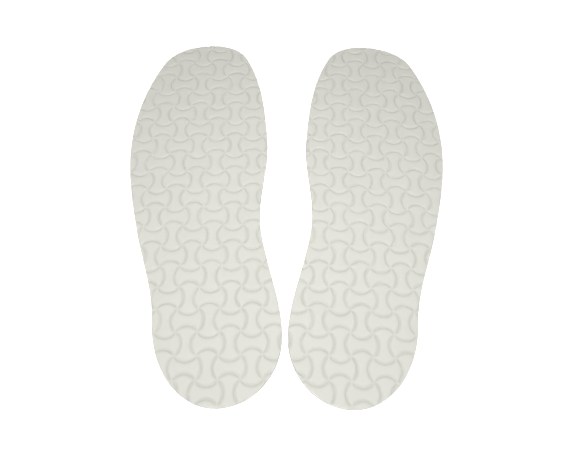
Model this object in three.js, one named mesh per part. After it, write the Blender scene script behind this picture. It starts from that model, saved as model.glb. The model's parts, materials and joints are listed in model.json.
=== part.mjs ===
// A pair of cushioned insoles, lying side by side with the embossed foot side up.
//
// Each insole is three plies bonded together and die-cut to one outline: a knitted lining underneath,
// a cushioning foam core, and a moulded foam face that carries the raised bone pattern. An insole bends
// across the ball of the foot, so every ply is made in a rear and a fore length, which meet with a hair
// gap on the flex line. The hinge of that bend lies in the face's top, so the gap only ever opens.
//
// Millimetres, +Z up, +Y towards the toes. The origin is under the middle of the pair. The inner side
// of an insole is the one that faces its mate.
import * as THREE from "three";

// The plies, from the floor up.
const liningThickness = 0.7;
const coreThickness = 3.0;
const faceThickness = 2.3;
const bondLine = 0.1; // hot-melt film between two plies

// The outline. A reach is measured across the insole from its long axis, which runs from the middle of
// the heel's back to the toes. A station is measured along that axis from the back of the heel.
const insoleLength = 262;
const heelInnerReach = 37.2;
const heelInnerStation = 40;
const heelOuterReach = 37.8;
const heelOuterStation = 50.5;
const archInnerReach = 28.4;
const archInnerStation = 111;
const waistOuterReach = 49.1;
const waistOuterStation = 108.5;
const waistOuterSlant = 11; // degrees that the outer edge leans out towards the ball
const ballInnerReach = 37;
const ballInnerStation = 173.5;
const ballOuterReach = 56.3;
const ballOuterStation = 166;
const toeTipOffset = 2; // the tip lies this far to the outer side of the long axis
const toeInnerReach = 26.2;
const toeInnerSetback = 14.8; // setbacks are measured back from the toe tip
const toeInnerSlant = 24; // degrees that the edge has turned in from the long axis
const toeOuterReach = 35.3;
const toeOuterSetback = 16;
const toeOuterSlant = 30;
const stepsPerStretch = 12; // straight steps in each curved stretch of the outline

// The bend across the ball of the foot. The flex line starts at the ball's inner station.
const flexSlant = 12; // degrees that the line runs back towards the outer side
const flexGap = 0.4;

// The pair.
const toeOut = 5; // degrees that each insole's long axis turns out from straight ahead
const pairClearance = 3; // between the two insoles where they come nearest

// The finishes.
const faceFinish = { color: 0xe3e3d8, roughness: 0.55, metalness: 0 };
const coreFinish = { color: 0xeceade, roughness: 0.85, metalness: 0 };
const liningFinish = { color: 0xd9dadb, roughness: 0.95, metalness: 0 };

const liningBase = 0;
const coreBase = liningBase + liningThickness + bondLine;
const faceBase = coreBase + coreThickness + bondLine;

const radians = THREE.MathUtils.degToRad;

// One place on the outline: how far across (inner side positive), how far along, and the direction in
// which the edge runs there, in degrees, going round by the inner side first. 90 is towards the toes.
function stationAt(across, along, heading) {
  return { at: new THREE.Vector2(across, along), heading: radians(heading) };
}

function outlineStations() {
  return [
    stationAt(0, 0, 0),
    stationAt(heelInnerReach, heelInnerStation, 90),
    stationAt(archInnerReach, archInnerStation, 90),
    stationAt(ballInnerReach, ballInnerStation, 90),
    stationAt(toeInnerReach, insoleLength - toeInnerSetback, 90 + toeInnerSlant),
    stationAt(-toeTipOffset, insoleLength, 180),
    stationAt(-toeOuterReach, insoleLength - toeOuterSetback, 270 - toeOuterSlant),
    stationAt(-ballOuterReach, ballOuterStation, 270),
    stationAt(-waistOuterReach, waistOuterStation, 270 + waistOuterSlant),
    stationAt(-heelOuterReach, heelOuterStation, 270),
  ];
}

// The curve from one station to the next: a cubic whose handles have the length that makes it a
// circular arc wherever the two directions allow one.
function stretchBetween(from, to) {
  const turn = Math.atan2(Math.sin(to.heading - from.heading), Math.cos(to.heading - from.heading));
  const handle = ((2 / 3) * from.at.distanceTo(to.at)) / (1 + Math.cos(turn / 2));
  const ahead = (station, distance) =>
    new THREE.Vector2(Math.cos(station.heading), Math.sin(station.heading))
      .multiplyScalar(distance)
      .add(station.at);
  return new THREE.CubicBezierCurve(from.at, ahead(from, handle), ahead(to, -handle), to.at);
}

function insoleOutline() {
  const stations = outlineStations();
  return stations.flatMap((station, i) => {
    const next = stations[(i + 1) % stations.length];
    return stretchBetween(station, next).getPoints(stepsPerStretch).slice(0, -1);
  });
}

// How far a point lies in front of the flex line.
function beyondFlexLine(point) {
  const forward = new THREE.Vector2(-Math.sin(radians(flexSlant)), Math.cos(radians(flexSlant)));
  return point.clone().sub(new THREE.Vector2(ballInnerReach, ballInnerStation)).dot(forward);
}

// The part of an outline where depth(point) is positive, closed along the line where it is nought.
function keepWhere(outline, depth) {
  return outline.flatMap((point, i) => {
    const next = outline[(i + 1) % outline.length];
    const here = depth(point);
    const there = depth(next);
    const kept = here > 0 ? [point] : [];
    if (here > 0 !== there > 0) kept.push(point.clone().lerp(next, here / (here - there)));
    return kept;
  });
}

const wholeOutline = insoleOutline();
const lengths = {
  fore: keepWhere(wholeOutline, (point) => beyondFlexLine(point) - flexGap / 2),
  rear: keepWhere(wholeOutline, (point) => -beyondFlexLine(point) - flexGap / 2),
};

// One length of one ply. innerSign is +1 where the inner side is +X, which is on the left insole.
function plyMesh(name, outline, innerSign, base, thickness, finish) {
  const shape = new THREE.Shape(outline.map((p) => new THREE.Vector2(innerSign * p.x, p.y)));
  const geometry = new THREE.ExtrudeGeometry(shape, { depth: thickness, bevelEnabled: false });
  const mesh = new THREE.Mesh(geometry, new THREE.MeshStandardMaterial(finish));
  mesh.name = name;
  mesh.position.z = base;
  return mesh;
}

// One insole, turned out by the toe-out and slid sideways to its half of the clearance.
function insole(side, innerSign) {
  const group = new THREE.Group();
  for (const [length, outline] of Object.entries(lengths)) {
    group.add(
      plyMesh(`${side}_lining_${length}`, outline, innerSign, liningBase, liningThickness, liningFinish),
      plyMesh(`${side}_core_${length}`, outline, innerSign, coreBase, coreThickness, coreFinish),
      plyMesh(`${side}_face_${length}`, outline, innerSign, faceBase, faceThickness, faceFinish),
    );
  }
  group.rotation.z = innerSign * radians(toeOut);
  const extent = new THREE.Box3().setFromObject(group, true);
  const innerEdge = innerSign > 0 ? extent.max.x : extent.min.x;
  group.position.x = (-innerSign * pairClearance) / 2 - innerEdge;
  return group;
}

const pair = new THREE.Group();
pair.add(insole("left", 1), insole("right", -1));

// Slides the pair along Y until the middle of its length is over the origin.
const pairExtent = new THREE.Box3().setFromObject(pair, true);
pair.position.y = -(pairExtent.min.y + pairExtent.max.y) / 2;

export default pair;
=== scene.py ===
import json
import math
from functools import partial

import bpy
import numpy as np
from mathutils import Matrix, Vector, noise
from mathutils.geometry import delaunay_2d_cdt, intersect_sphere_sphere_2d


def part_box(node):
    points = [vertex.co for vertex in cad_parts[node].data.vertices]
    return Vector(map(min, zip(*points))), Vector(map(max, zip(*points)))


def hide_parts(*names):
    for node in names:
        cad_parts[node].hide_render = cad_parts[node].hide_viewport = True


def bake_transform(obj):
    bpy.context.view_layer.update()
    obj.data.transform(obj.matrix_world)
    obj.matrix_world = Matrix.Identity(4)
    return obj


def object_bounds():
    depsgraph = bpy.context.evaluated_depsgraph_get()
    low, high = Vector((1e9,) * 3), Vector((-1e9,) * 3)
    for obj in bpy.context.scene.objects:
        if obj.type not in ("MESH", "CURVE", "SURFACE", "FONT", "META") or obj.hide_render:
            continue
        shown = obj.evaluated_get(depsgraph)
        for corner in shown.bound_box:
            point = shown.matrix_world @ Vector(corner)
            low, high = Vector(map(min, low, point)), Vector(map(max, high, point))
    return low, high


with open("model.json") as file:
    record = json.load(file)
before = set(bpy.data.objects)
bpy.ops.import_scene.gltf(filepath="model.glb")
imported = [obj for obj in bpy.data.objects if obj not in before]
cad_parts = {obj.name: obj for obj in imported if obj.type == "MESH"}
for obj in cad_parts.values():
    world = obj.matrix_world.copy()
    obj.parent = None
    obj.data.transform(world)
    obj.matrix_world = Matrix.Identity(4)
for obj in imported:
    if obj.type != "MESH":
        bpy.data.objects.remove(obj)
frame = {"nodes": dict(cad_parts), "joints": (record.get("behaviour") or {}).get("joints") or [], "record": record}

# A pair of cushioned insoles: each is a moulded foam face, a foam core and a knitted lining, bonded
# and cut to one outline. All in metres. The left insole is made, and the right one is its mirror image.

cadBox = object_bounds()
mounts = {m["name"]: Vector(m["pos_m"]) for m in frame["record"]["mounts"]}
flexJoint = next(j for j in frame["joints"] if j["name"] == "left_flex")

# The insole's own directions: along its long axis to the toes, and across it to the inner side.
flexPoint = Vector(flexJoint["pos_m"]).xy
along = (flexPoint - mounts["left_foot_bed"].xy).normalized()
across = Vector((along.y, -along.x))
axisTurn = math.atan2(across.y, across.x)
flexForward = Vector((-flexJoint["axis"][1], flexJoint["axis"][0])).normalized()


def plyHeights(ply):
    low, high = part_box(f"left_{ply}_rear")
    return low.z, high.z


class Wire:
    # One output of a node. A sum written with wires adds its Math nodes.
    def __init__(self, tree, socket):
        self.tree = tree
        self.socket = socket

    @classmethod
    def add(cls, tree, kind, settings=None, sockets=None, out=0):
        # Settings are set first, then each socket gets a value, a wire or a list of wires.
        node = tree.nodes.new(kind)
        for name, value in (settings or {}).items():
            if name == "stops":
                cls.setStops(node.color_ramp, value)
            else:
                setattr(node, name, value)
        for key, value in (sockets or {}).items():
            for one in value if isinstance(value, list) else [value]:
                if isinstance(one, Wire):
                    tree.links.new(one.socket, node.inputs[key])
                else:
                    node.inputs[key].default_value = one
        return cls(tree, node.outputs[out]) if node.outputs else node

    @staticmethod
    def setStops(ramp, stops):
        while len(ramp.elements) < len(stops):
            ramp.elements.new(1)
        for element, (place, colour) in zip(ramp.elements, stops):
            element.position = place
            element.color = colour

    def other(self, name):
        return Wire(self.tree, self.socket.node.outputs[name])

    def maths(self, operation, a, b=0.0):
        return Wire.add(self.tree, "ShaderNodeMath", {"operation": operation}, {0: a, 1: b})

    def __add__(self, b):
        return self.maths("ADD", self, b)

    def __radd__(self, a):
        return self.maths("ADD", a, self)

    def __sub__(self, b):
        return self.maths("SUBTRACT", self, b)

    def __rsub__(self, a):
        return self.maths("SUBTRACT", a, self)

    def __mul__(self, b):
        return self.maths("MULTIPLY", self, b)

    def __rmul__(self, a):
        return self.maths("MULTIPLY", a, self)

    def __truediv__(self, b):
        return self.maths("DIVIDE", self, b)

    def __mod__(self, b):
        return self.maths("MODULO", self, b)

    def __gt__(self, b):
        return self.maths("GREATER_THAN", self, b)

    def floor(self):
        return self.maths("FLOOR", self)


dieCut = {
    "gapReach": 0.0006,         # the CAD's corners this near the flex line are left out
    "outlineStep": 0.0006,      # between the outline's points
    "outlineFineness": 24,      # straight steps from one CAD corner to the next, before they are evened
    "fillSpacing": 0.003,       # between the points of a flat side
}


def cadOutline():
    # The left insole's corners from its CAD solids, in order, without those on the flex line's gap.
    corners = set()
    for node in ("left_face_rear", "left_face_fore"):
        for vertex in frame["nodes"][node].data.vertices:
            corners.add((round(vertex.co.x, 6), round(vertex.co.y, 6)))
    corners = [Vector(c) for c in corners]
    corners = [c for c in corners if abs((c - flexPoint).dot(flexForward)) > dieCut["gapReach"]]
    middle = sum(corners, Vector((0, 0))) / len(corners)
    corners.sort(key=lambda c: math.atan2(c.y - middle.y, c.x - middle.x))
    return np.array([tuple(c) for c in corners])


def smoothLoop(points, step):
    # A closed curve through the points, with its own points a step apart.
    after = np.roll(points, -1, axis=0)
    before = np.roll(points, 1, axis=0)
    ahead = np.linalg.norm(after - points, axis=1)[:, None]
    behind = np.linalg.norm(points - before, axis=1)[:, None]
    slope = ((after - points) * behind / ahead + (points - before) * ahead / behind) / (ahead + behind)
    t = np.linspace(0, 1, dieCut["outlineFineness"], endpoint=False)[:, None]
    stretches = []
    for i in range(len(points)):
        j = (i + 1) % len(points)
        stretches.append(
            (2 * t**3 - 3 * t**2 + 1) * points[i]
            + (t**3 - 2 * t**2 + t) * slope[i] * ahead[i]
            + (3 * t**2 - 2 * t**3) * points[j]
            + (t**3 - t**2) * slope[j] * ahead[i]
        )
    fine = np.vstack([*stretches, points[:1]])
    length = np.concatenate([[0], np.cumsum(np.linalg.norm(np.diff(fine, axis=0), axis=1))])
    at = np.linspace(0, length[-1], round(length[-1] / step), endpoint=False)
    return np.stack([np.interp(at, length, fine[:, k]) for k in range(2)], axis=1)


def inwards(loop):
    # The inward direction at each point of a loop that runs anticlockwise.
    run = np.roll(loop, -1, axis=0) - np.roll(loop, 1, axis=0)
    run /= np.linalg.norm(run, axis=1)[:, None]
    return np.stack([-run[:, 1], run[:, 0]], axis=1)


outline = smoothLoop(cadOutline(), dieCut["outlineStep"])
inward = inwards(outline)
print("outline:", len(outline), "points")


def meshOf(name, points, faces):
    mesh = bpy.data.meshes.new(name)
    mesh.from_pydata([tuple(p) for p in points], [], faces, shade_flat=False)
    return mesh


def objectOf(name, mesh):
    thing = bpy.data.objects.new(name, mesh)
    bpy.context.scene.collection.objects.link(thing)
    return thing


def insideLoop(loop, places):
    inside = np.zeros(len(places), bool)
    for a, b in zip(loop, np.roll(loop, -1, axis=0)):
        crosses = (a[1] > places[:, 1]) != (b[1] > places[:, 1])
        reach = (b[0] - a[0]) * (places[:, 1] - a[1]) / ((b[1] - a[1]) or 1)
        inside ^= crosses & (places[:, 0] < a[0] + reach)
    return inside


def fillLoop(loop, spacing):
    # Points inside a loop on an even triangular grid, and the triangles that fill the loop.
    low, high = loop.min(axis=0), loop.max(axis=0)
    margin = spacing * 0.45     # the grid stays this far from the loop
    grid = np.array([
        (x, y)
        for row, y in enumerate(np.arange(low[1], high[1], spacing * math.sqrt(0.75)))
        for x in np.arange(low[0] + spacing / 2 * (row % 2), high[0], spacing)
    ])
    clear = np.array([np.hypot(*(loop - p).T).min() for p in grid]) > margin
    inner = grid[insideLoop(loop, grid) & clear]
    places = np.vstack([loop, inner])
    edges = [(i, (i + 1) % len(loop)) for i in range(len(loop))]
    insideOnly, weld = 1, 1e-9
    found = delaunay_2d_cdt([Vector(p) for p in places], edges, [], insideOnly, weld)
    facesFound, cameFrom = found[2], found[3]
    triangles = []
    for face in facesFound:
        face = [cameFrom[k][0] for k in face]
        a, b, c = places[face]
        turn = (b[0] - a[0]) * (c[1] - a[1]) - (b[1] - a[1]) * (c[0] - a[0])
        triangles.append(face if turn > 0 else face[::-1])
    return inner, triangles


def ringFaces(count, levels):
    # The quads between rings of points that lie one after another.
    return [
        (low + i, low + (i + 1) % count, low + count + (i + 1) % count, low + count + i)
        for low in range(0, count * (levels - 1), count)
        for i in range(count)
    ]


def cutSlab(name, edge, wall):
    # A slab with the insole's outline. edge lists (inset, height) from the bottom up, and wall gives
    # how far each point of the side sinks in.
    count = len(outline)
    rings = []
    for level, (inset, height) in enumerate(edge):
        ring = np.column_stack([outline + inward * inset, np.full(count, height)])
        if 0 < level < len(edge) - 1:
            ring[:, :2] += inward * np.array([wall(Vector(p)) for p in ring])[:, None]
        rings.append(ring)
    points = np.vstack(rings)
    faces = ringFaces(count, len(edge))
    for level, turned in ((0, -1), (len(edge) - 1, 1)):
        inner, triangles = fillLoop(rings[level][:, :2], dieCut["fillSpacing"])
        start = len(points)
        points = np.vstack([points, np.column_stack([inner, np.full(len(inner), edge[level][1])])])
        for triangle in triangles:
            corners = [level * count + k if k < count else start + k - count for k in triangle]
            faces.append(corners[::turned])
    return objectOf(name, meshOf(name, points, faces))


def sheetTree():
    # A sheet of tiles, two kinds in turn as on a chessboard, backed to a solid and cut with a cutter.
    tree = bpy.data.node_groups.new("tiledSheet", "GeometryNodeTree")
    for name, kind in (
        ("First Tile", "Object"), ("Second Tile", "Object"), ("Pitch Across", "Float"),
        ("Pitch Along", "Float"), ("Columns", "Int"), ("Rows", "Int"), ("Turn", "Float"),
        ("Place", "Vector"), ("Backing", "Float"), ("Cutter", "Object"), ("Sharp Angle", "Float"),
        ("Material", "Material"),
    ):
        tree.interface.new_socket(name, in_out="INPUT", socket_type="NodeSocket" + kind)
    tree.interface.new_socket("Geometry", in_out="OUTPUT", socket_type="NodeSocketGeometry")
    add = partial(Wire.add, tree)

    tileWeld, backWeld = 1e-5, 1e-6
    given = add("NodeGroupInput")
    columns, rows = given.other("Columns"), given.other("Rows")
    grid = add("GeometryNodeMeshGrid", None, {
        "Size X": (columns - 1) * given.other("Pitch Across"),
        "Size Y": (rows - 1) * given.other("Pitch Along"),
        "Vertices X": columns,
        "Vertices Y": rows,
    })
    index = add("GeometryNodeInputIndex")
    column = (index / rows + 0.001).floor()     # the grid is numbered along one column after another
    odd = (column + index % rows) % 2
    kinds = []
    for tile, chosen in (("First Tile", 1 - odd), ("Second Tile", odd)):
        shape = add("GeometryNodeObjectInfo", None, {"Object": given.other(tile)}, "Geometry")
        kinds.append(add("GeometryNodeInstanceOnPoints", None, {
            "Points": grid, "Selection": chosen, "Instance": shape,
        }))
    tiles = add("GeometryNodeJoinGeometry", None, {"Geometry": kinds})
    tiles = add("GeometryNodeRealizeInstances", None, {"Geometry": tiles})
    sheet = add("GeometryNodeMergeByDistance", None, {"Geometry": tiles, "Distance": tileWeld})
    sheet = add("GeometryNodeTransform", None, {
        "Geometry": sheet,
        "Rotation": add("ShaderNodeCombineXYZ", None, {"Z": given.other("Turn")}),
        "Translation": given.other("Place"),
    })

    # The back is the sheet again, turned over, and the front is drawn out from it.
    step = add("ShaderNodeCombineXYZ", None, {"Z": given.other("Backing")})
    back = add("GeometryNodeTransform", None, {
        "Geometry": sheet,
        "Translation": add("ShaderNodeVectorMath", {"operation": "SCALE"}, {0: step, "Scale": -1.0}),
    })
    drawn = add("GeometryNodeExtrudeMesh", {"mode": "FACES"}, {
        "Mesh": back, "Offset": step, "Individual": False,
    })
    solid = add("GeometryNodeJoinGeometry", None, {
        "Geometry": [drawn, add("GeometryNodeFlipFaces", None, {"Mesh": back})],
    })
    solid = add("GeometryNodeMergeByDistance", None, {"Geometry": solid, "Distance": backWeld})
    cutter = add("GeometryNodeObjectInfo", None, {"Object": given.other("Cutter")}, "Geometry")
    cut = add("GeometryNodeMeshBoolean", {"operation": "INTERSECT", "solver": "MANIFOLD"}, {
        "Mesh 2": [solid, cutter],
    })
    cut = add("GeometryNodeRealizeInstances", None, {"Geometry": cut})
    cut = add("GeometryNodeSetShadeSmooth", {"domain": "EDGE"}, {
        "Geometry": cut,
        "Selection": add("GeometryNodeInputMeshEdgeAngle") > given.other("Sharp Angle"),
        "Shade Smooth": False,
    })
    cut = add("GeometryNodeSetMaterial", None, {"Geometry": cut, "Material": given.other("Material")})
    add("NodeGroupOutput", None, {"Geometry": cut})
    return tree


def growSheet(name, tree, inputs):
    # Runs the tree once and keeps its result as a plain mesh. The tiles and the cutter are used up.
    holder = objectOf(name, bpy.data.meshes.new(name))
    modifier = holder.modifiers.new("sheet", "NODES")
    modifier.node_group = tree
    for socket in tree.interface.items_tree:
        if socket.in_out == "INPUT":
            modifier[socket.identifier] = inputs[socket.name]
    grown = holder.evaluated_get(bpy.context.evaluated_depsgraph_get())
    mesh = bpy.data.meshes.new_from_object(grown)
    holder.modifiers.clear()
    holder.data = mesh
    for used in {v for v in inputs.values() if isinstance(v, bpy.types.Object)}:
        bpy.data.objects.remove(used)
    return holder


def gridOver(pitchAcross, pitchAlong, turn, anchor):
    # Whole tiles that cover the outline, counted from the anchor, so that even ones are like it.
    c, s = math.cos(turn), math.sin(turn)
    away = outline - np.array(anchor)
    u = (away[:, 0] * c + away[:, 1] * s) / pitchAcross
    v = (away[:, 1] * c - away[:, 0] * s) / pitchAlong
    firstColumn, firstRow = math.floor(u.min()) - 1, math.floor(v.min()) - 1
    if (firstColumn + firstRow) % 2:
        firstRow -= 1
    columns = math.ceil(u.max()) + 2 - firstColumn
    rows = math.ceil(v.max()) + 2 - firstRow
    x = (firstColumn + (columns - 1) / 2) * pitchAcross
    y = (firstRow + (rows - 1) / 2) * pitchAlong
    return columns, rows, (anchor[0] + x * c - y * s, anchor[1] + x * s + y * c)


tiledSheet = sheetTree()

bonePattern = {
    "cellAcross": 0.0125,       # one bone's cell
    "cellAlong": 0.01356,
    "bow": 0.265,               # how far a cell's edge bows, as a share of the cell
    "turn": -3.15,              # degrees from the long axis
    "middleAcross": 0.00043,    # the middle of one bone that lies across, from the flex point
    "middleAlong": -0.0221,
    "grooveWidth": 0.0025,
    "grooveDepth": 0.0007,
    "fade": 0.13,               # the share of an edge over which its groove grows shallow at each end
    "hornShare": 0.3,           # how much of its depth is left where four horns meet
    "hornRounding": 7,          # smoothing passes over a bone's four horns
    "hornSteps": 3,             # how many points each side of a horn they move
    "roundedFrom": 0.63,        # from here in the groove, all of the passes are made
    "edgeSteps": 14,            # straight steps in each edge of a cell
    "crowding": 0.6,            # how much closer together the steps are at the horns
    "crownSpacing": 0.0022,
    "crownDrop": 0.000005,      # the crowns stay this far under the CAD's top
    "backing": 0.004,           # deep enough to reach through the ply
    "sharpAngle": 40,
}

# How deep the groove is at each distance from its middle: shares of half its width and of its depth.
grooveProfile = (
    (0, 1), (0.2, 0.92), (0.4, 0.7), (0.6, 0.44), (0.8, 0.24), (1.05, 0.115), (1.45, 0.045), (2.1, 0),
)


def boneRing(lying, distance):
    # A loop at a distance inside the edge of a bone's cell, both in cell units, and how much of the
    # groove there is at each of its points. Each side is an arc, bowed out at the bone's ends and in
    # at its waist.
    bow, least = bonePattern["bow"], bonePattern["hornShare"]
    radius = (0.25 + bow**2) / (2 * bow)
    arcs = []
    for side in range(4):
        bowsOut = (side % 2 == 0) == lying
        middle = Vector((0.5 + bow - radius if bowsOut else 0.5 - bow + radius, 0))
        middle.rotate(Matrix.Rotation(side * math.pi / 2, 2))
        arcs.append((middle, radius - distance if bowsOut else radius + distance))
    corners = []
    for side in range(4):
        sharp = Vector((0.5, -0.5))
        sharp.rotate(Matrix.Rotation(side * math.pi / 2, 2))
        meets = intersect_sphere_sphere_2d(*arcs[side - 1], *arcs[side])
        corners.append(min(meets, key=lambda p: (p - sharp).length))
    points, strengths = [], []
    for side, (middle, reach) in enumerate(arcs):
        start, end = corners[side] - middle, corners[(side + 1) % 4] - middle
        for step in range(bonePattern["edgeSteps"]):
            t = step / bonePattern["edgeSteps"]
            t -= bonePattern["crowding"] * math.sin(2 * math.pi * t) / (2 * math.pi)
            turn = start.angle_signed(end) * -t
            points.append(middle + Matrix.Rotation(turn, 2) @ start)
            run = min(1, min(t, 1 - t) / bonePattern["fade"])
            strengths.append(least + (1 - least) * run * run * (3 - 2 * run))
    return np.array([tuple(p) for p in points]), np.array(strengths)


def boneTile(name, lying):
    # One bone, from the middle of the groove round it up to its crown, which lies at nought.
    cell = bonePattern
    size = np.array([cell["cellAcross"], cell["cellAlong"]])
    rings = []
    for share, depth in grooveProfile:
        distance = share * cell["grooveWidth"] / 2 / size.mean()
        ring, strength = boneRing(lying, distance)
        ring *= size
        toHorn = np.arange(len(ring)) % cell["edgeSteps"]
        nearHorn = (np.minimum(toHorn, cell["edgeSteps"] - toHorn) < cell["hornSteps"])[:, None]
        for _ in range(round(cell["hornRounding"] * min(1, share / cell["roundedFrom"]))):
            smoothed = (ring * 2 + np.roll(ring, 1, axis=0) + np.roll(ring, -1, axis=0)) / 4
            ring = np.where(nearHorn, smoothed, ring)
        rings.append(np.column_stack([ring, -depth * strength * cell["grooveDepth"]]))
    inner, triangles = fillLoop(rings[-1][:, :2], cell["crownSpacing"])
    points = np.vstack([*rings, np.column_stack([inner, np.zeros(len(inner))])])
    faces = ringFaces(len(rings[0]), len(rings))
    last = len(rings[0]) * (len(rings) - 1)
    faces += [[last + k for k in triangle] for triangle in triangles]
    return objectOf(name, meshOf(name, points, faces))


faceFoam = {
    "colour": (0.745, 0.747, 0.675, 1),
    "pale": (0.79, 0.79, 0.73, 1),        # where the tint drifts
    "shade": (0.62, 0.625, 0.565, 1),     # painted shade in the grooves
    "cutCellShade": (0.60, 0.60, 0.53, 1),    # painted shade in the cells laid open by the die on the cut edge, and in the skin's pinholes
    "grooveShade": 0.5,                    # how much of the painted shade a groove takes
    # The next two: how much of that painted shade the open cells and the pinholes take.
    "cellShade": 0.6,
    "pinholeShade": 0.5,
    "roughness": (0.48, 0.2, 0.15),       # the skin's least, what the grain adds, and the cut edge
    "driftScale": 45.0,
    "grainSize": 0.0007,
    "cellSize": 0.00045,
    "cellReach": (0.2, 0.5),              # an open cell is whole to here, and ends there, in cell sizes
    "pinholeGap": 0.0042,                 # between the skin's few pinholes
    "pinholeReach": (0.035, 0.06),        # in gaps
    "cellDepth": 0.7,                     # as shares of the bump's depth
    "pinholeDepth": 1.5,
    "cutFrom": 1.15,                      # deeper than this many grooves, the surface is a cut one
    "bumpStrength": 0.45,
    "bumpDepth": 0.00018,
    # The side, in insets and heights: from the ply's underside up, and then the rim over its top.
    "side": ((0.0002, 0.0), (0.00005, 0.0003), (0.0, 0.0008), (0.00003, 0.0013), (0.0, 0.0018),
             (0.0001, 0.0021), (0.0003, 0.00226)),
    "rim": (0.0004, 0.0001),
    "waver": 0.00005,                     # how much the die's cut wanders in and out
    "waverScale": 900,
}


def storeDepth(mesh, crest, relief):
    # Keeps how deep each point lies below the crests, counted in reliefs, for the material to read.
    places = np.zeros(len(mesh.vertices) * 3, np.float32)
    mesh.vertices.foreach_get("co", places)
    depth = mesh.attributes.new("reliefDepth", "FLOAT", "POINT")
    depth.data.foreach_set("value", (places[2::3] - crest) / relief)


def newMaterial(name):
    # An empty material, and the call that adds its nodes.
    material = bpy.data.materials.new(name)
    material.use_nodes = True
    material.node_tree.nodes.clear()
    return material, partial(Wire.add, material.node_tree)


def mixed(add, factor, a, b):
    # A colour between a and b.
    return add("ShaderNodeMix", {"data_type": "RGBA"}, {0: factor, 6: a, 7: b}, 2)


def spots(add, distance, reach):
    # White within the first reach of a cell's middle, black beyond the second.
    stops = ((reach[0], (1, 1, 1, 1)), (reach[1], (0, 0, 0, 1)))
    return add("ShaderNodeValToRGB", {"stops": stops}, {"Fac": distance})


def faceFoamMaterial():
    # Moulded foam skin: off-white, faintly uneven in tint, with a fine grain, and painted shade in its grooves,
    # its pinholes and the open cells of its cut edge.
    material, add = newMaterial("faceFoam")
    place = add("ShaderNodeTexCoord", out="Object")
    depth = add("ShaderNodeAttribute", {"attribute_name": "reliefDepth"}, None, "Fac")
    groove = depth.maths("MINIMUM", depth, 1.0)
    onCut = depth > faceFoam["cutFrom"]
    drift = add("ShaderNodeTexNoise", None, {
        "Vector": place, "Scale": faceFoam["driftScale"], "Detail": 4.0,
    })
    grain = add("ShaderNodeTexNoise", None, {
        "Vector": place, "Scale": 1 / faceFoam["grainSize"], "Detail": 4.0, "Roughness": 0.6,
    })
    cells = add("ShaderNodeTexVoronoi", None, {"Vector": place, "Scale": 1 / faceFoam["cellSize"]})
    openCells = spots(add, cells, faceFoam["cellReach"]) * onCut
    holes = add("ShaderNodeTexVoronoi", None, {"Vector": place, "Scale": 1 / faceFoam["pinholeGap"]})
    pinholes = spots(add, holes, faceFoam["pinholeReach"]) * (1 - onCut)
    colour = mixed(add, drift, faceFoam["colour"], faceFoam["pale"])
    # Painted shade, darkest where the grooves are deepest and over the whole cut side.
    colour = mixed(add, groove * faceFoam["grooveShade"], colour, faceFoam["shade"])
    # Painted shade in the open cells of the cut edge and in the skin's pinholes, which the bump also sinks.
    opened = openCells * faceFoam["cellShade"] + pinholes * faceFoam["pinholeShade"]
    colour = mixed(add, opened, colour, faceFoam["cutCellShade"])
    bump = add("ShaderNodeBump", None, {
        "Height": grain - openCells * faceFoam["cellDepth"] - pinholes * faceFoam["pinholeDepth"],
        "Strength": faceFoam["bumpStrength"],
        "Distance": faceFoam["bumpDepth"],
    })
    least, fromGrain, fromCut = faceFoam["roughness"]
    shader = add("ShaderNodeBsdfPrincipled", None, {
        "Base Color": colour,
        "Roughness": grain * fromGrain + onCut * fromCut + least,
        "Normal": bump,
    })
    add("ShaderNodeOutputMaterial", None, {"Surface": shader})
    return material


def waver(ply):
    # How far the die's cut wanders in at each point of a ply's side.
    return lambda p: ply["waver"] * noise.noise(p * ply["waverScale"])


def foamFace():
    low, high = plyHeights("face")
    cell = bonePattern
    turn = axisTurn + math.radians(cell["turn"])
    anchor = flexPoint + across * cell["middleAcross"] + along * cell["middleAlong"]
    columns, rows, place = gridOver(cell["cellAcross"], cell["cellAlong"], turn, anchor)
    crown = high - cell["crownDrop"]
    edge = [(inset, low + rise) for inset, rise in faceFoam["side"]]
    edge.append((faceFoam["rim"][0], high + faceFoam["rim"][1]))
    cutter = cutSlab("faceCutter", edge, waver(faceFoam))
    face = growSheet("left_face", tiledSheet, {
        "First Tile": boneTile("boneAcross", True),
        "Second Tile": boneTile("boneAlong", False),
        "Pitch Across": cell["cellAcross"],
        "Pitch Along": cell["cellAlong"],
        "Columns": columns,
        "Rows": rows,
        "Turn": turn,
        "Place": (*place, crown),
        "Backing": cell["backing"],
        "Cutter": cutter,
        "Sharp Angle": math.radians(cell["sharpAngle"]),
        "Material": faceFoamMaterial(),
    })
    storeDepth(face.data, crown, -cell["grooveDepth"])
    print("face:", len(face.data.polygons), "faces")
    return face


coreFoam = {
    "colour": (0.79, 0.77, 0.68, 1),
    "pale": (0.84, 0.82, 0.73, 1),
    # painted shade in the pores
    "poreShadeColour": (0.52, 0.50, 0.42, 1),
    "paleTint": 0.3,
    # how much of the painted shade the pores take
    "poreShade": 0.55,
    "roughness": 0.85,
    "driftScale": 120.0,
    "finePores": 1500.0,        # in a metre
    "finePoreReach": (0.12, 0.42),
    "bumpStrength": 0.6,
    "bumpDepth": 0.0002,
    "levels": 11,               # rings of points up the side
    "sinkIn": 0.0002,           # how far the core stays back from the plies it is bonded to
    "bulge": 0.00012,
    "shoulder": 0.00025,        # how much further it draws in at its two rims
    "shoulderShare": 9,         # over one ninth of its height
    "poreSize": 0.0011,
    "poreDepth": 0.00022,
    "poreReach": 0.5,           # a pore's radius, in pore sizes
}


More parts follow.
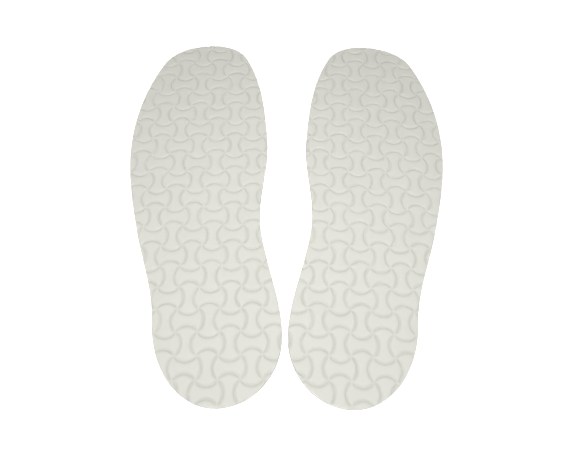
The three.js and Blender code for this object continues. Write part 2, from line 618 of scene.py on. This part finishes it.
def coreFoamMaterial():
    # Open-cell cushioning foam: cream, with small pores darkened by painted shade.
    material, add = newMaterial("coreFoam")
    place = add("ShaderNodeTexCoord", out="Object")
    cells = add("ShaderNodeTexVoronoi", None, {"Vector": place, "Scale": coreFoam["finePores"]})
    pores = spots(add, cells, coreFoam["finePoreReach"])
    drift = add("ShaderNodeTexNoise", None, {
        "Vector": place, "Scale": coreFoam["driftScale"], "Detail": 3.0,
    })
    colour = mixed(add, drift * coreFoam["paleTint"], coreFoam["colour"], coreFoam["pale"])
    # Painted shade in the pores, which the bump also sinks.
    colour = mixed(add, pores * coreFoam["poreShade"], colour, coreFoam["poreShadeColour"])
    bump = add("ShaderNodeBump", None, {
        "Height": 1 - pores,
        "Strength": coreFoam["bumpStrength"],
        "Distance": coreFoam["bumpDepth"],
    })
    shader = add("ShaderNodeBsdfPrincipled", None, {
        "Base Color": colour, "Roughness": coreFoam["roughness"], "Normal": bump,
    })
    add("ShaderNodeOutputMaterial", None, {"Surface": shader})
    return material


def foamCore():
    low, high = plyHeights("core")
    edge = []
    for level in range(coreFoam["levels"]):
        t = level / (coreFoam["levels"] - 1)
        belly = coreFoam["bulge"] * math.sin(math.pi * t)
        toRim = max(0, 1 - coreFoam["shoulderShare"] * min(t, 1 - t))
        shoulder = coreFoam["shoulder"] * toRim**2
        edge.append((coreFoam["sinkIn"] - belly + shoulder, low + (high - low) * t))

    def pore(p):
        nearest = noise.voronoi(p / coreFoam["poreSize"])[0][0]
        return coreFoam["poreDepth"] * max(0, 1 - nearest / coreFoam["poreReach"]) ** 0.5

    core = cutSlab("left_core", edge, pore)
    core.data.materials.append(coreFoamMaterial())
    print("core:", len(core.data.polygons), "faces")
    return core


knit = {
    "wale": 0.0022,             # one stitch across
    "course": 0.0018,           # and along
    "lean": 0.7,                # how far a stitch's legs lean, in courses
    "relief": 0.00028,
    "stitchSteps": 4,           # straight steps across a stitch, and along it
    "backing": -0.002,          # deep enough to reach through the ply
    "sharpAngle": 60,
    "waver": 0.00006,           # how much the die's cut wanders in and out
    "waverScale": 1300,
    "colour": (0.70, 0.71, 0.72, 1),
    # painted shade between the yarns
    "shade": (0.50, 0.51, 0.53, 1),
    "fibreColour": (0.80, 0.80, 0.81, 1),
    "fibreTint": 0.4,
    "fibreScale": 2600.0,
    "roughness": 0.9,
    "sheen": 0.25,
    "bumpStrength": 0.5,
    "bumpDepth": 0.00015,
}


def stitchTile(name):
    # One knitted stitch, seen from below: two leaning legs that make a V. Its crests lie at nought.
    points, faces = [], []
    steps = knit["stitchSteps"]
    for row in range(steps + 1):
        for column in range(steps + 1):
            u, v = column / steps - 0.5, row / steps - 0.5
            valley = max(abs(math.cos(2 * math.pi * u)), abs(math.sin(math.pi * v)) ** 1.5)
            shift = knit["lean"] * abs(u)
            points.append((u * knit["wale"], (v + shift) * knit["course"], knit["relief"] * valley))
            if row < steps and column < steps:
                k = row * (steps + 1) + column
                faces.append((k, k + steps + 1, k + steps + 2, k + 1))
    return objectOf(name, meshOf(name, points, faces))


def knitMaterial():
    # Knitted polyester: pale grey, with painted shade between the yarns, fine fibres and a soft sheen.
    material, add = newMaterial("knitLining")
    place = add("ShaderNodeTexCoord", out="Object")
    depth = add("ShaderNodeAttribute", {"attribute_name": "reliefDepth"}, None, "Fac")
    fibres = add("ShaderNodeTexNoise", None, {
        "Vector": place, "Scale": knit["fibreScale"], "Detail": 2.0,
    })
    # Painted shade, darkest in the valleys between the yarns.
    colour = mixed(add, depth.maths("MINIMUM", depth, 1.0), knit["colour"], knit["shade"])
    colour = mixed(add, fibres * knit["fibreTint"], colour, knit["fibreColour"])
    bump = add("ShaderNodeBump", None, {
        "Height": fibres, "Strength": knit["bumpStrength"], "Distance": knit["bumpDepth"],
    })
    shader = add("ShaderNodeBsdfPrincipled", None, {
        "Base Color": colour,
        "Roughness": knit["roughness"],
        "Sheen Weight": knit["sheen"],
        "Normal": bump,
    })
    add("ShaderNodeOutputMaterial", None, {"Surface": shader})
    return material


def knitLining():
    low, high = plyHeights("lining")
    columns, rows, place = gridOver(knit["wale"], knit["course"], axisTurn, flexPoint)
    cutter = cutSlab("liningCutter", (      # inset and height, from the underside up
        (0.0003, low - 0.0001), (0.00018, low + 0.0001), (0.00005, low + 0.00025),
        (0.0, low + 0.0004), (0.0, high - 0.0001), (0.00008, high),
    ), waver(knit))
    stitch = stitchTile("stitch")
    lining = growSheet("left_lining", tiledSheet, {
        "First Tile": stitch,
        "Second Tile": stitch,
        "Pitch Across": knit["wale"],
        "Pitch Along": knit["course"],
        "Columns": columns,
        "Rows": rows,
        "Turn": axisTurn,
        "Place": (*place, low),
        "Backing": knit["backing"],
        "Cutter": cutter,
        "Sharp Angle": math.radians(knit["sharpAngle"]),
        "Material": knitMaterial(),
    })
    storeDepth(lining.data, low, knit["relief"])
    print("lining:", len(lining.data.polygons), "faces")
    return lining


def mirrored(piece, name):
    # The right insole's piece from the left one's.
    mesh = piece.data.copy()
    mesh.name = name
    mesh.transform(Matrix.Diagonal((-1, 1, 1, 1)))
    mesh.flip_normals()
    return objectOf(name, mesh)


def fitPly(piece, side, ply):
    # Names a piece's mesh after it, hides the CAD parts it takes the place of, and bakes its place into its mesh.
    piece.data.name = piece.name
    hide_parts(f"{side}_{ply}_rear", f"{side}_{ply}_fore")
    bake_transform(piece)


for ply, make in (("lining", knitLining), ("core", foamCore), ("face", foamFace)):
    piece = make()
    twin = mirrored(piece, f"right_{ply}")
    fitPly(piece, "left", ply)
    fitPly(twin, "right", ply)
print("plies: mirrored and fitted")


ground = {"reach": 4, "colour": (0.9, 0.9, 0.9, 1), "glow": 0.75}


def paleFloor():
    far = ground["reach"]
    points = [(x, y, 0) for x, y in ((-far, -far), (far, -far), (far, far), (-far, far))]
    floor = objectOf("floor", meshOf("floor", points, [(0, 1, 2, 3)]))
    material, add = newMaterial("paleFloor")
    shader = add("ShaderNodeBsdfPrincipled", None, {
        "Base Color": ground["colour"],
        "Roughness": 0.9,
        "Specular IOR Level": 0.0,
        "Emission Color": (1, 1, 1, 1),
        "Emission Strength": ground["glow"],
    })
    add("ShaderNodeOutputMaterial", None, {"Surface": shader})
    floor.data.materials.append(material)


studio = {
    "zenith": 0.2,              # the sky's strength straight up, and on the horizon
    "horizon": 1.0,
    "skyTop": 0.45,             # how far up the sky reaches its strength at the zenith
    "aim": (0, -0.04, 0),
    "lamps": (
        # name, place, size, power, spread in degrees
        ("topLamp", (0.0, -0.055, 0.9), 0.3, 0.545, 56),
        ("nearLamp", (-0.1, -1.0, 0.7), 0.35, 2.3, 180),
    ),
}


def studioLight():
    world = bpy.data.worlds.new("studio")
    bpy.context.scene.world = world
    world.use_nodes = True
    world.node_tree.nodes.clear()
    add = partial(Wire.add, world.node_tree)
    height = add("ShaderNodeSeparateXYZ", None, {0: add("ShaderNodeTexCoord", out="Generated")}, "Z")
    rise = add("ShaderNodeMapRange", {"interpolation_type": "SMOOTHSTEP"}, {
        "Value": height, "From Min": 0.0, "From Max": studio["skyTop"],
        "To Min": studio["horizon"], "To Max": studio["zenith"],
    })
    sky = add("ShaderNodeBackground", None, {"Color": (1, 1, 1, 1), "Strength": rise})
    add("ShaderNodeOutputWorld", None, {"Surface": sky})
    for name, place, size, power, spread in studio["lamps"]:
        lamp = bpy.data.lights.new(name, "AREA")
        lamp.shape = "DISK"
        lamp.size = size
        lamp.energy = power
        lamp.spread = math.radians(spread)
        holder = bpy.data.objects.new(name, lamp)
        holder.location = place
        away = Vector(place) - Vector(studio["aim"])
        holder.rotation_euler = away.to_track_quat("Z", "Y").to_euler()
        holder.visible_camera = False
        bpy.context.scene.collection.objects.link(holder)


viewpoint = {
    "focalLength": 31.6,
    "sensorWidth": 36,
    "sees": (0.01, 20),         # from the nearest to the furthest thing
    "aim": (-0.0006, -0.02317),
    "distance": 0.315,
    "tilt": 25.7,               # degrees from straight down
    "roll": 0.6,
}


def setCamera():
    camera = bpy.data.cameras.new("camera")
    camera.lens = viewpoint["focalLength"]
    camera.sensor_width = viewpoint["sensorWidth"]
    camera.clip_start, camera.clip_end = viewpoint["sees"]
    holder = bpy.data.objects.new("camera", camera)
    tilt = Matrix.Rotation(math.radians(viewpoint["tilt"]), 4, "X")
    aim = Vector((*viewpoint["aim"], cadBox[1].z))
    holder.location = aim + tilt @ Vector((0, 0, viewpoint["distance"]))
    holder.rotation_euler = (tilt @ Matrix.Rotation(math.radians(viewpoint["roll"]), 4, "Z")).to_euler()
    bpy.context.scene.collection.objects.link(holder)
    bpy.context.scene.camera = holder


paleFloor()
studioLight()
setCamera()
bpy.context.scene.view_settings.view_transform = "Standard"
print("stage, lights and camera: ready")
